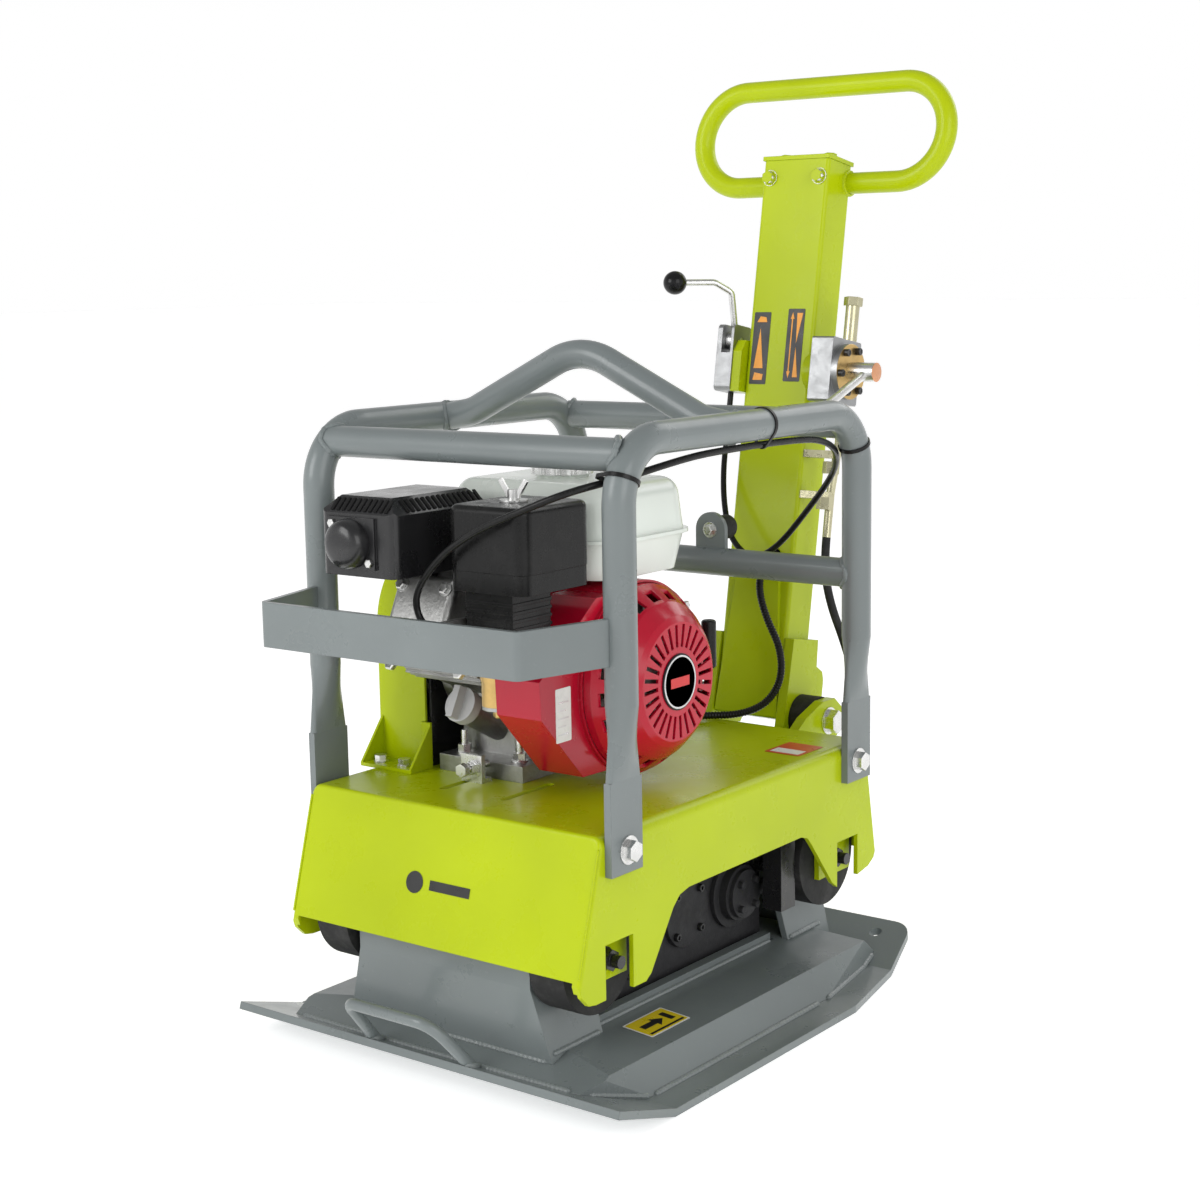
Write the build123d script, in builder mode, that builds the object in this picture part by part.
from build123d import *
import os
from math import atan, cos, degrees, hypot, radians, sin, tan

os.makedirs("parts", exist_ok=True)

# A reversible plate compactor. Millimetres, +Z up, +X to the recoil-starter side, -Y to the
# front. The origin is the centre of the base plate's flat underside.

# ---------------------------------------------------------------- driving dimensions
# base plate
PLATE_HALF_WIDTH = 250
PLATE_THICKNESS = 8
FRONT_BEND_Y = -216
FRONT_EDGE = (-305, 28)
REAR_BEND_Y = 240
REAR_EDGE = (318, 30)
TAPER_START_Y = 119
REAR_HALF_WIDTH = 209
RIDGE_X = 196
RIDGE_Z = 39
PAN_TOP_Z = 45
PAN_WALL = 5
RAIL_INNER_X = 105
RAIL_OUTER_X = 117

# exciter
SHAFT_Z = 113
DRIVE_SHAFT_Y = 15
DRIVEN_SHAFT_Y = 105
SHAFT_RADIUS = 15
HOUSING_HALF_X = 98
HOUSING_WALL = 13

# rubber mounts
MOUNT_YS = (-216, 203)
MOUNT_Z = 140
MOUNT_RADIUS = 56
PEDESTAL_HALF_X = 112.3
MOUNT_INNER_X = 120
BRACKET_X = 162

# hood
HOOD_HALF_WIDTH = 189
HOOD_TOP_Z = 268.5
HOOD_TOP_HALF_LENGTH = 244
HOOD_WALL = 5
HOOD_FRONT_SLOPE = 0.28
HOOD_REAR_SLOPE = 0.18
HOOD_SKIRT_Z = 110

# cage
HOOP_X = 193
HOOP_Y = 215
HOOP_TOP_Z = 635.5
HOOP_BEND = 60
TUBE_RADIUS = 16
TUBE_WALL = 2.6
STRAP_WIDTH = 49
STRAP_THICKNESS = 8
STRAP_BOTTOM_Z = 229.5
STRAP_TOP_Z = 320
FLATTEN_TOP_Z = 390
CAGE_BOLT_Y = 213
CAGE_BOLT_Z = 251.5

# engine
CRANK_Y = -52
CRANK_Z = 379.5
CYLINDER_TILT = 25
STUD_XS = (-98, -22.5)
STUD_YS = (-107, 55)
DRUM_X = -165

# handle: the post is drawn in a leaning frame whose origin is at the foot of its front face
POST_LEAN = 9.91
POST_WIDTH = 90
POST_DEPTH = 54
POST_WALL = 4
POST_LENGTH = 661
POST_FOOT = (0, 289.2, 265.3)
PIVOT_Y = 318
PIVOT_Z = 264.5
LOOP_TUBE_RADIUS = 12.5
LOOP_HALF_WIDTH = 168.5
LOOP_BOTTOM = 640.7
LOOP_TOP = 758.3
LOOP_DEPTH = 50

POST_AXIS = (0, sin(radians(POST_LEAN)), cos(radians(POST_LEAN)))
POST_FRAME = Plane(origin=POST_FOOT, x_dir=(1, 0, 0), z_dir=POST_AXIS)
# seen from the front: X across, the post's length up
POST_FRONT = Plane(origin=POST_FOOT, x_dir=(1, 0, 0), z_dir=-POST_FRAME.y_dir)
# seen from the right-hand side: local depth across, the post's length up
POST_SIDE = Plane(origin=POST_FOOT, x_dir=POST_FRAME.y_dir, z_dir=(1, 0, 0))



def on_post(x, depth, up):
    """A point given in the leaning post's frame."""
    return POST_FRAME.from_local_coords((x, depth, up))


# cords: routes chosen by hand, each point a bend
THROTTLE_CABLE_RADIUS = 3.5
THROTTLE_CABLE_ROUTE = [
    on_post(-66, 4, 384),
    on_post(-66, 4, 336),
    (-55, 325, 553),
    (-38, 301, 511),
    (-14, 280, 474),
    (22, 270, 455),
    (60, 266, 474),
    (100, 262, 517),
    (140, 249, 558),
    (166, 220, 582),
    (184, 183, 600),
    (192, 138, 612),
    (193.4, 86, 614.8),
    (193, 28, 615.3),
    (193.4, -30, 614.8),
    (192.6, -86, 613.4),
    (188, -134, 608),
    (178, -174, 600.5),
    (168, -209, 596),
    (143, -235, 587),
    (102, -247, 570),
    (56, -249, 552),
    (16, -249, 531),
    (-11, -249, 508),
    (-31, -249, 483),
    (-31, -248, 461),
    (-17, -247, 446),
    (5, -247, 446),
]
CONDUIT_RADIUS = 4.5
CONDUIT_ROUTE = [
    (20, 327, 457),
    (20, 297, 446),
    (23, 280, 422),
    (38, 274, 388),
    (60, 270, 356),
    (66, 264, 320),
    (50, 256, 290),
    (20, 244, 276),
    (-14, 226, 274.6),
    (-40, 196, 274.8),
    (-52, 158, 275),
    (-58, 124, 283),
    (-60, 96, 302),
    (-60, 68, 313),
    (-60, 42, 313),
]
HOSE_RADIUS = 5
HOSE_ROUTE = [
    on_post(80, 13, 218),
    on_post(80, 13, 184),
    (86, 338, 400),
    (104, 340, 356),
    (122, 335, 312),
    (134, 328, 268),
    (137, 318, 226),
    (137, 298, 192),
    (137, 268, 176),
]


# ---------------------------------------------------------------- shared shapes
def block(x0, x1, y0, y1, z0, z1, mode=Mode.ADD):
    """A box between two corners, in the active part."""
    with Locations(((x0 + x1) / 2, (y0 + y1) / 2, (z0 + z1) / 2)):
        Box(x1 - x0, y1 - y0, z1 - z0, mode=mode)


def x_cylinder(x0, x1, y, z, radius, mode=Mode.ADD):
    """A cylinder along X, in the active part."""
    with Locations(Location(((x0 + x1) / 2, y, z), (0, 90, 0))):
        Cylinder(radius, x1 - x0, mode=mode)


def y_cylinder(x, y0, y1, z, radius, mode=Mode.ADD):
    """A cylinder along Y, in the active part."""
    with Locations(Location((x, (y0 + y1) / 2, z), (90, 0, 0))):
        Cylinder(radius, y1 - y0, mode=mode)


def z_cylinder(x, y, z0, z1, radius, mode=Mode.ADD):
    """A cylinder along Z, in the active part."""
    with Locations((x, y, (z0 + z1) / 2)):
        Cylinder(radius, z1 - z0, mode=mode)


def prism(plane, points, amount, both=False, mode=Mode.ADD):
    """A polygon on a plane, extruded along its normal, in the active part."""
    with BuildSketch(plane) as outline:
        Polygon(*points, align=None)
    extrude(outline.sketch, amount=amount, both=both, mode=mode)


def hex_bolt(plane, flats, head, shank_radius, shank, washer_radius=0):
    """A hexagon head on its washer, its shank going down from the plane, in the active part."""
    washer = 1.6 if washer_radius else 0
    if washer_radius:
        with BuildSketch(plane) as disc:
            Circle(washer_radius)
        extrude(disc.sketch, amount=washer)
    with BuildSketch(plane.offset(washer)) as hexagon:
        RegularPolygon(flats / 2, 6, major_radius=False)
    extrude(hexagon.sketch, amount=head)
    if shank:
        with BuildSketch(plane) as stem:
            Circle(shank_radius)
        extrude(stem.sketch, amount=-shank)


def bend_radii(points, share=0.45):
    """Each corner's radius: a share of its shorter run over the tangent of half the turn."""
    vectors = [Vector(*b) - Vector(*a) for a, b in zip(points, points[1:])]
    radii = []
    for before, after in zip(vectors, vectors[1:]):
        half_turn = radians(before.get_angle(after)) / 2
        radii.append(share * min(before.length, after.length) / tan(half_turn))
    return radii


def tube(points, radii, outer, inner=0):
    """A round tube or rod of straight runs and tangent arcs, in the active part."""
    with BuildLine() as route:
        FilletPolyline(*points, radius=radii)
    with BuildSketch(Plane(origin=route.line @ 0, z_dir=route.line % 0)) as section:
        Circle(outer)
        if inner:
            Circle(inner, mode=Mode.SUBTRACT)
    sweep(section.sketch, path=route.line)


def cord(points, radius):
    """A cord's tube, in the active part, bent at every point."""
    tube(points, bend_radii(points), radius)


def lip_top(y):
    """Height of the base plate's upper surface at y."""
    if y < FRONT_BEND_Y:
        slope = FRONT_EDGE[1] / (FRONT_BEND_Y - FRONT_EDGE[0])
        return PLATE_THICKNESS / cos(atan(slope)) + slope * (FRONT_BEND_Y - y)
    if y > REAR_BEND_Y:
        slope = REAR_EDGE[1] / (REAR_EDGE[0] - REAR_BEND_Y)
        return PLATE_THICKNESS / cos(atan(slope)) + slope * (y - REAR_BEND_Y)
    return PLATE_THICKNESS


# ---------------------------------------------------------------- base plate
def base_profile():
    """The plate's side profile, with the normal offset at each turned-up lip."""
    front = atan(FRONT_EDGE[1] / (FRONT_BEND_Y - FRONT_EDGE[0]))
    rear = atan(REAR_EDGE[1] / (REAR_EDGE[0] - REAR_BEND_Y))
    t = PLATE_THICKNESS
    return [
        FRONT_EDGE,
        (FRONT_BEND_Y, 0),
        (REAR_BEND_Y, 0),
        REAR_EDGE,
        (REAR_EDGE[0] - t * sin(rear), REAR_EDGE[1] + t * cos(rear)),
        (REAR_BEND_Y - t * tan(rear / 2), t),
        (FRONT_BEND_Y + t * tan(front / 2), t),
        (FRONT_EDGE[0] + t * sin(front), FRONT_EDGE[1] + t * cos(front)),
    ]


LIP_HOLE = (175, 292)

with BuildPart() as base_plate:
    with BuildSketch(Plane.YZ):
        Polygon(*base_profile(), align=None)
    extrude(amount=PLATE_HALF_WIDTH, both=True)
    with BuildSketch(Plane.XY):
        Polygon(
            (-PLATE_HALF_WIDTH, FRONT_EDGE[0]),
            (PLATE_HALF_WIDTH, FRONT_EDGE[0]),
            (PLATE_HALF_WIDTH, TAPER_START_Y),
            (REAR_HALF_WIDTH, REAR_EDGE[0]),
            (-REAR_HALF_WIDTH, REAR_EDGE[0]),
            (-PLATE_HALF_WIDTH, TAPER_START_Y),
            align=None,
        )
    extrude(amount=60, mode=Mode.INTERSECT)
    rear_corners = base_plate.edges().filter_by(lambda e: e.center().Y > 300 and abs(e.center().X) > 205
                                                and abs(e.center().Y - 316.5) < 3)
    fillet(rear_corners, 25)
    z_cylinder(LIP_HOLE[0], LIP_HOLE[1], 0, 60, 7, Mode.SUBTRACT)
base_plate.part.label = "base_plate"
export_step(base_plate.part, "parts/base_plate.step")


# The pan is one folded sheet welded round its foot to the plate, with an opening for the exciter.
def pan_envelope(inset):
    """The hip-roof solid whose skin is the pan; an inset of the wall gives its hollow."""
    front_foot_y = -283 + 3.2 * inset
    rear_foot_y = 262 - 2.5 * inset
    with BuildPart() as envelope:
        with BuildSketch(Plane.XZ):
            Polygon(
                (-(214.7 - 1.2 * inset), PLATE_THICKNESS),
                (-(RIDGE_X - 0.8 * inset), RIDGE_Z - inset),
                (-RAIL_OUTER_X, PAN_TOP_Z - inset),
                (RAIL_OUTER_X, PAN_TOP_Z - inset),
                (RIDGE_X - 0.8 * inset, RIDGE_Z - inset),
                (214.7 - 1.2 * inset, PLATE_THICKNESS),
                align=None,
            )
        extrude(amount=300, both=True)
        with BuildSketch(Plane.YZ):
            Polygon(
                (FRONT_BEND_Y + 1.23, PLATE_THICKNESS),
                (front_foot_y, lip_top(front_foot_y)),
                (-225 + 0.3 * inset, PAN_TOP_Z),
                (222 - 0.4 * inset, PAN_TOP_Z),
                (rear_foot_y, lip_top(rear_foot_y)),
                (REAR_BEND_Y - 1.49, PLATE_THICKNESS),
                align=None,
            )
        extrude(amount=300, both=True, mode=Mode.INTERSECT)
        with BuildSketch(Plane.XY.offset(PLATE_THICKNESS)):
            Polygon(
                (-(215 - inset), -205),
                (-(178 - inset), -310),
                (178 - inset, -310),
                (215 - inset, -205),
                (215 - inset, 117 - inset),
                (188 - inset, 275),
                (-(188 - inset), 275),
                (-(215 - inset), 117 - inset),
                align=None,
            )
        extrude(amount=60, mode=Mode.INTERSECT)
    return envelope.part


pan_solid = pan_envelope(0)
pan_hollow = pan_envelope(PAN_WALL)

with BuildPart() as top_pan:
    add(pan_solid)
    add(pan_hollow, mode=Mode.SUBTRACT)
    block(-RAIL_OUTER_X, RAIL_OUTER_X, -170, 166, 0, 60, Mode.SUBTRACT)
top_pan.part.label = "top_pan"
export_step(top_pan.part, "parts/top_pan.step")

with BuildPart() as rail_bars:
    for side in (-1, 1):
        xs = sorted((side * RAIL_INNER_X, side * RAIL_OUTER_X))
        block(xs[0], xs[1], -166, 157, PLATE_THICKNESS, 54)
rail_bars.part.label = "rail_bars"
export_step(rail_bars.part, "parts/rail_bars.step")


# ---------------------------------------------------------------- pedestals
def spread(z):
    """Half the pedestal's width: its cheeks lean out below z = 110."""
    return PEDESTAL_HALF_X + max(0, 110 - z) * 0.2857


def tapered_block(z0, z1, half0, half1, y0_low, y0_high, y1, mode):
    """A block that widens downward, between two rectangles, in the active part."""
    with BuildSketch(Plane.XY.offset(z0)) as low:
        Polygon((-half0, y0_low), (half0, y0_low), (half0, y1), (-half0, y1), align=None)
    with BuildSketch(Plane.XY.offset(z1)) as high:
        Polygon((-half1, y0_high), (half1, y0_high), (half1, y1), (-half1, y1), align=None)
    loft(low.sketch.faces() + high.sketch.faces(), mode=mode)


def pedestal(foot_z, plate_top, mount_y):
    """The front pedestal: a front plate and two cheeks, open towards the exciter."""
    plate = 8
    with BuildPart() as stand:
        tapered_block(foot_z, 110, spread(foot_z), spread(110), -254, -261, -172, Mode.ADD)
        block(-PEDESTAL_HALF_X, PEDESTAL_HALF_X, -261, -172, 110, plate_top)
        block(-PEDESTAL_HALF_X, PEDESTAL_HALF_X, -244, -174, plate_top, 190)
        tapered_block(foot_z, 110, spread(foot_z) - plate, spread(110) - plate,
                      -254 + plate, -261 + plate, -150, Mode.SUBTRACT)
        block(-PEDESTAL_HALF_X + plate, PEDESTAL_HALF_X - plate, -261 + plate, -150, 110, 191, Mode.SUBTRACT)
        for side in (-1, 1):
            x_cylinder(side * 108 - 10, side * 108 + 10, mount_y, MOUNT_Z, 6.6, Mode.SUBTRACT)
    return stand.part


with BuildPart() as front_pedestal:
    add(pedestal(30, 150, MOUNT_YS[0]))
    add(pan_solid, mode=Mode.SUBTRACT)
    add(base_plate.part, mode=Mode.SUBTRACT)
front_pedestal.part.label = "front_pedestal"
export_step(front_pedestal.part, "parts/front_pedestal.step")

with BuildPart() as rear_pedestal:
    add(mirror(pedestal(15, 130, -MOUNT_YS[1]), about=Plane.XZ, mode=Mode.PRIVATE))
    add(pan_solid, mode=Mode.SUBTRACT)
    add(base_plate.part, mode=Mode.SUBTRACT)
rear_pedestal.part.label = "rear_pedestal"
export_step(rear_pedestal.part, "parts/rear_pedestal.step")

# The carry loop leans forward from two welds on the front lip.
with BuildPart() as carry_loop:
    foot_y = -291
    tube(
        [
            (-66, foot_y, lip_top(foot_y)),
            (-62, -333, 83),
            (49, -333, 83),
            (61, foot_y, lip_top(foot_y)),
        ],
        [12, 24],
        6,
    )
    add(base_plate.part, mode=Mode.SUBTRACT)
carry_loop.part.label = "carry_loop"
export_step(carry_loop.part, "parts/carry_loop.step")

# ---------------------------------------------------------------- exciter
HOUSING_Y = (-130, 164)
HOUSING_Z = (PLATE_THICKNESS, 184)

with BuildPart() as exciter_housing:
    block(-HOUSING_HALF_X, HOUSING_HALF_X, HOUSING_Y[0], HOUSING_Y[1], HOUSING_Z[0], HOUSING_Z[1])
    fillet(exciter_housing.edges().filter_by(Axis.X).group_by(Axis.Z)[-1], 22)
    block(
        -HOUSING_HALF_X + HOUSING_WALL,
        HOUSING_HALF_X - HOUSING_WALL,
        HOUSING_Y[0] + HOUSING_WALL,
        HOUSING_Y[1] - HOUSING_WALL,
        HOUSING_Z[0] + HOUSING_WALL,
        HOUSING_Z[1] - HOUSING_WALL,
        Mode.SUBTRACT,
    )
    # bearing covers, a blind one towards the front, and the bores behind them
    for side in (-1, 1):
        x_cylinder(side * 101 - 3, side * 101 + 3, DRIVE_SHAFT_Y, SHAFT_Z, 38)
    x_cylinder(HOUSING_HALF_X, HOUSING_HALF_X + 6, -75, 95, 30)
    x_cylinder(-HOUSING_HALF_X - 6, -HOUSING_HALF_X, DRIVEN_SHAFT_Y, SHAFT_Z, 34)
    for y, bore_end in ((DRIVE_SHAFT_Y, 93), (DRIVEN_SHAFT_Y, 93)):
        x_cylinder(-93, bore_end, y, SHAFT_Z, SHAFT_RADIUS + 0.06, Mode.SUBTRACT)
    x_cylinder(-120, 0, DRIVE_SHAFT_Y, SHAFT_Z, SHAFT_RADIUS + 0.06, Mode.SUBTRACT)
exciter_housing.part.label = "exciter_housing"
export_step(exciter_housing.part, "parts/exciter_housing.step")

GEAR_RADIUS = (DRIVEN_SHAFT_Y - DRIVE_SHAFT_Y) / 2


def eccentric_shaft(y, x_end):
    """A shaft with a gear and two half-moon weights, hanging down at rest."""
    weight_radius = GEAR_RADIUS - 4
    with BuildPart() as shaft:
        x_cylinder(x_end, 92.5, y, SHAFT_Z, SHAFT_RADIUS)
        x_cylinder(50, 68, y, SHAFT_Z, GEAR_RADIUS - 0.6)
        for x0 in (-78, 6):
            with BuildSketch(Plane.YZ.offset(x0)) as weight:
                with Locations((y, SHAFT_Z)):
                    Circle(weight_radius)
                with Locations((y, SHAFT_Z + 3 + weight_radius)):
                    Rectangle(2 * weight_radius, 2 * weight_radius, mode=Mode.SUBTRACT)
            extrude(weight.sketch, amount=38)
    return shaft.part


with BuildPart() as drive_eccentric:
    add(eccentric_shaft(DRIVE_SHAFT_Y, -183))
drive_eccentric.part.label = "drive_eccentric"
export_step(drive_eccentric.part, "parts/drive_eccentric.step")

with BuildPart() as driven_eccentric:
    add(eccentric_shaft(DRIVEN_SHAFT_Y, -92.5))
driven_eccentric.part.label = "driven_eccentric"
export_step(driven_eccentric.part, "parts/driven_eccentric.step")

# V-belt drive from the clutch drum down to the exciter
BELT_WIDTH = 13
BELT_HEIGHT = 9
DRUM_GROOVE_RADIUS = 50
PULLEY_GROOVE_RADIUS = 42
BELT_GAP = 0.4


def pulley(y, z, groove_radius, half_width=15):
    """A pulley with one groove for the belt, in the active part."""
    rim = groove_radius + BELT_HEIGHT - 1
    x_cylinder(DRUM_X - half_width, DRUM_X + half_width, y, z, groove_radius)
    for side in (-1, 1):
        inner = BELT_WIDTH / 2 + BELT_GAP
        xs = sorted((side * inner, side * half_width))
        x_cylinder(DRUM_X + xs[0], DRUM_X + xs[1], y, z, rim)


with BuildPart() as exciter_pulley:
    pulley(DRIVE_SHAFT_Y, SHAFT_Z, PULLEY_GROOVE_RADIUS)
    x_cylinder(-200, -120, DRIVE_SHAFT_Y, SHAFT_Z, SHAFT_RADIUS, Mode.SUBTRACT)
exciter_pulley.part.label = "exciter_pulley"
export_step(exciter_pulley.part, "parts/exciter_pulley.step")


def belt_outline(extra):
    """The belt's hull round both pulleys, extruded across its width, as a loose solid."""
    with BuildPart() as wrap:
        with BuildSketch(Plane.YZ.offset(DRUM_X - BELT_WIDTH / 2)):
            with Locations((CRANK_Y, CRANK_Z)):
                Circle(DRUM_GROOVE_RADIUS + extra)
            with Locations((DRIVE_SHAFT_Y, SHAFT_Z)):
                Circle(PULLEY_GROOVE_RADIUS + extra)
            make_hull()
        extrude(amount=BELT_WIDTH)
    return wrap.part


with BuildPart() as drive_belt:
    add(belt_outline(BELT_GAP + BELT_HEIGHT))
    add(belt_outline(BELT_GAP), mode=Mode.SUBTRACT)
drive_belt.part.label = "drive_belt"
export_step(drive_belt.part, "parts/drive_belt.step")

# Hydraulic cylinder that shifts the weights' phase, on the exciter's right-hand wall
CYLINDER_FACE_X = 120
with BuildPart() as shift_cylinder:
    x_cylinder(HOUSING_HALF_X, 104, DRIVEN_SHAFT_Y, SHAFT_Z, 40)
    x_cylinder(104, 114, DRIVEN_SHAFT_Y, SHAFT_Z, 31)
    x_cylinder(114, CYLINDER_FACE_X, DRIVEN_SHAFT_Y, SHAFT_Z, 27)
    with Locations(Plane.YZ.offset(CYLINDER_FACE_X)):
        with Locations((DRIVEN_SHAFT_Y, SHAFT_Z)):
            with PolarLocations(19.5, 4, start_angle=45):
                Cylinder(4, 6, align=(Align.CENTER, Align.CENTER, Align.MIN))
    x_cylinder(HOUSING_HALF_X, 110, 148, 140, 14)
    y_cylinder(108, 134, 157, 108, 8)
shift_cylinder.part.label = "shift_cylinder"
export_step(shift_cylinder.part, "parts/shift_cylinder.step")

# ---------------------------------------------------------------- rubber mounts
with BuildPart() as rubber_mounts:
    for side in (-1, 1):
        for y in MOUNT_YS:
            rubber = sorted((side * MOUNT_INNER_X, side * BRACKET_X))
            x_cylinder(rubber[0], rubber[1], y, MOUNT_Z, MOUNT_RADIUS)
            xs = sorted((side * PEDESTAL_HALF_X, side * BRACKET_X))
            x_cylinder(xs[0], xs[1], y, MOUNT_Z, 26)
            x_cylinder(xs[0], xs[1], y, MOUNT_Z, 6.5, Mode.SUBTRACT)
rubber_mounts.part.label = "rubber_mounts"
export_step(rubber_mounts.part, "parts/rubber_mounts.step")

with BuildPart() as mount_bolts:
    for side in (-1, 1):
        for y in MOUNT_YS:
            outer = Plane(origin=(side * (BRACKET_X + 6), y, MOUNT_Z), z_dir=(side, 0, 0))
            hex_bolt(outer, 19, 9, 6.4, 60, 12)
            with Locations(outer):
                Cylinder(6.4, 21, align=(Align.CENTER, Align.CENTER, Align.MIN))
            inner = Plane(origin=(side * (PEDESTAL_HALF_X - 8), y, MOUNT_Z), z_dir=(-side, 0, 0))
            hex_bolt(inner, 19, 8, 6.4, 6, 12)
mount_bolts.part.label = "mount_bolts"
export_step(mount_bolts.part, "parts/mount_bolts.step")

with BuildPart() as mount_brackets:
    for side in (-1, 1):
        for y0, y1, mount_y in ((-248, -180, MOUNT_YS[0]), (178, 243, MOUNT_YS[1])):
            xs = sorted((side * BRACKET_X, side * (BRACKET_X + 6)))
            block(xs[0], xs[1], y0, y1, 118, 228)
            # two flanges tie the plate to the hood's side wall above the notch
            flange = sorted((side * (BRACKET_X + 6), side * (HOOD_HALF_WIDTH - HOOD_WALL)))
            for z in (170, 222):
                block(flange[0], flange[1], y0 + 4, y1 - 4, z, z + 6)
            x_cylinder(xs[0] - 1, xs[1] + 1, mount_y, MOUNT_Z, 6.6, Mode.SUBTRACT)
mount_brackets.part.label = "mount_brackets"
export_step(mount_brackets.part, "parts/mount_brackets.step")


# ---------------------------------------------------------------- hood
def hood_y(z, end, inset=0):
    """The front (-1) or rear (+1) plate's outer y at height z."""
    slope = HOOD_FRONT_SLOPE if end < 0 else HOOD_REAR_SLOPE
    return end * (HOOD_TOP_HALF_LENGTH + (HOOD_TOP_Z - z) * slope - inset)


SIDE_CUT = [
    (-300, 100),
    (-300, 170),
    (hood_y(136.5, -1) - 2, 136.5),
    (-278, 122),
    (-268, 112),
    (-257, HOOD_SKIRT_Z),
    (-177, HOOD_SKIRT_Z),
    (-168, 116),
    (-130, 172),
    (-119, 182),
    (-103, 186),
    (107, 187),
    (120, 183),
    (130, 172),
    (172, 120),
    (182, 113),
    (223, 116),
    (250, 121),
    (262, 128),
    (266, 136),
    (hood_y(152, 1) + 2, 152),
    (300, 152),
    (300, 100),
]

with BuildPart() as hood:
    with BuildSketch(Plane.YZ):
        Polygon(
            (hood_y(HOOD_TOP_Z, -1), HOOD_TOP_Z),
            (hood_y(HOOD_TOP_Z, 1), HOOD_TOP_Z),
            (hood_y(100, 1), 100),
            (hood_y(100, -1), 100),
            align=None,
        )
    extrude(amount=HOOD_HALF_WIDTH, both=True)
    fillet(hood.edges().filter_by(Axis.Y).group_by(Axis.Z)[-1], 11)
    fillet(hood.edges().filter_by(Axis.X).group_by(Axis.Z)[-1], 4)
    with BuildSketch(Plane.YZ) as inside:
        roof = HOOD_TOP_Z - HOOD_WALL
        Polygon(
            (hood_y(roof, -1, HOOD_WALL), roof),
            (hood_y(roof, 1, HOOD_WALL), roof),
            (hood_y(90, 1, HOOD_WALL), 90),
            (hood_y(90, -1, HOOD_WALL), 90),
            align=None,
        )
    extrude(inside.sketch, amount=HOOD_HALF_WIDTH - HOOD_WALL, both=True, mode=Mode.SUBTRACT)
    # lower edge of both side walls, then of the front and rear plates
    prism(Plane.YZ, SIDE_CUT, HOOD_HALF_WIDTH + 5, both=True, mode=Mode.SUBTRACT)
    for y0, y1 in ((-241, -197), (182, 226)):
        for side in (-1, 1):
            xs = sorted((side * 170, side * 200))
            block(xs[0], xs[1], y0, y1, 100, 163.5, Mode.SUBTRACT)
    half = HOOD_HALF_WIDTH - HOOD_WALL - 4
    block(-half, half, -300, -240, 90, 136.5, Mode.SUBTRACT)
    block(-half, half, 235, 300, 90, 136.5, Mode.SUBTRACT)
    # roof openings: the belt's way through and two slots for the engine's bolts
    block(-182, -142, -118, 45, 250, 280, Mode.SUBTRACT)
    for x in (-60, 21):
        block(x - 4.5, x + 4.5, -184, -112, 250, 280, Mode.SUBTRACT)
        for y in (-184, -112):
            z_cylinder(x, y, 250, 280, 4.5, Mode.SUBTRACT)
    for x, y in [(x, y) for x in STUD_XS for y in STUD_YS]:
        z_cylinder(x, y, 250, 280, 4.6, Mode.SUBTRACT)
    for side in (-1, 1):
        for end in (-1, 1):
            x_cylinder(side * 187 - 10, side * 187 + 10, end * CAGE_BOLT_Y, CAGE_BOLT_Z, 6.2, Mode.SUBTRACT)
hood.part.label = "hood"
export_step(hood.part, "parts/hood.step")

# Two lime ears behind the hood carry the handle's pivot.
EAR_INNER_X = 84
EAR_OUTER_X = 96
with BuildPart() as pivot_ears:
    for side in (-1, 1):
        xs = sorted((side * EAR_INNER_X, side * EAR_OUTER_X))
        prism(
            Plane.YZ.offset(xs[0]),
            [
                (hood_y(262, 1), 262),
                (hood_y(262, 1) + 22, 276),
                (PIVOT_Y - 12, 289),
                (PIVOT_Y + 14, 289),
                (PIVOT_Y + 30, 276),
                (PIVOT_Y + 32, 252),
                (PIVOT_Y + 10, 238),
                (hood_y(190, 1), 190),
            ],
            xs[1] - xs[0],
        )
    x_cylinder(-120, 120, PIVOT_Y, PIVOT_Z, 8.05, Mode.SUBTRACT)
pivot_ears.part.label = "pivot_ears"
export_step(pivot_ears.part, "parts/pivot_ears.step")

with BuildPart() as pivot_shaft:
    x_cylinder(-104, 104, PIVOT_Y, PIVOT_Z, 8)
    for side in (-1, 1):
        nut = Plane(origin=(side * (EAR_OUTER_X + 0.2), PIVOT_Y, PIVOT_Z), z_dir=(side, 0, 0))
        hex_bolt(nut, 24, 12, 8, 4, 16)
pivot_shaft.part.label = "pivot_shaft"
export_step(pivot_shaft.part, "parts/pivot_shaft.step")

# Belt-tension screw: a tab on the hood and a bolt that bears on the engine's base.
with BuildPart() as belt_adjuster:
    block(-66, -38, -150, -144, HOOD_TOP_Z, 298)
    block(-66, -38, -144, -134, HOOD_TOP_Z, 273)
    y_cylinder(-52, -160, -125, 284, 4)
    with BuildSketch(Plane(origin=(-52, -160, 284), z_dir=(0, -1, 0))) as head:
        RegularPolygon(6.5, 6, major_radius=False)
    extrude(head.sketch, amount=7)
    with BuildSketch(Plane(origin=(-52, -150, 284), z_dir=(0, -1, 0))) as nut_outline:
        RegularPolygon(6.5, 6, major_radius=False)
    extrude(nut_outline.sketch, amount=6)
belt_adjuster.part.label = "belt_adjuster"
export_step(belt_adjuster.part, "parts/belt_adjuster.step")

# A black channel guards the hydraulic hose on its way down to the shift cylinder.
with BuildPart() as hose_channel:
    block(134, 158, 116, 144, 96, 186)
    block(137, 155, 119, 141, 99, 187, Mode.SUBTRACT)
    block(111, 134, 134, 138, 132, 140)
hose_channel.part.label = "hose_channel"
export_step(hose_channel.part, "parts/hose_channel.step")


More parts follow.
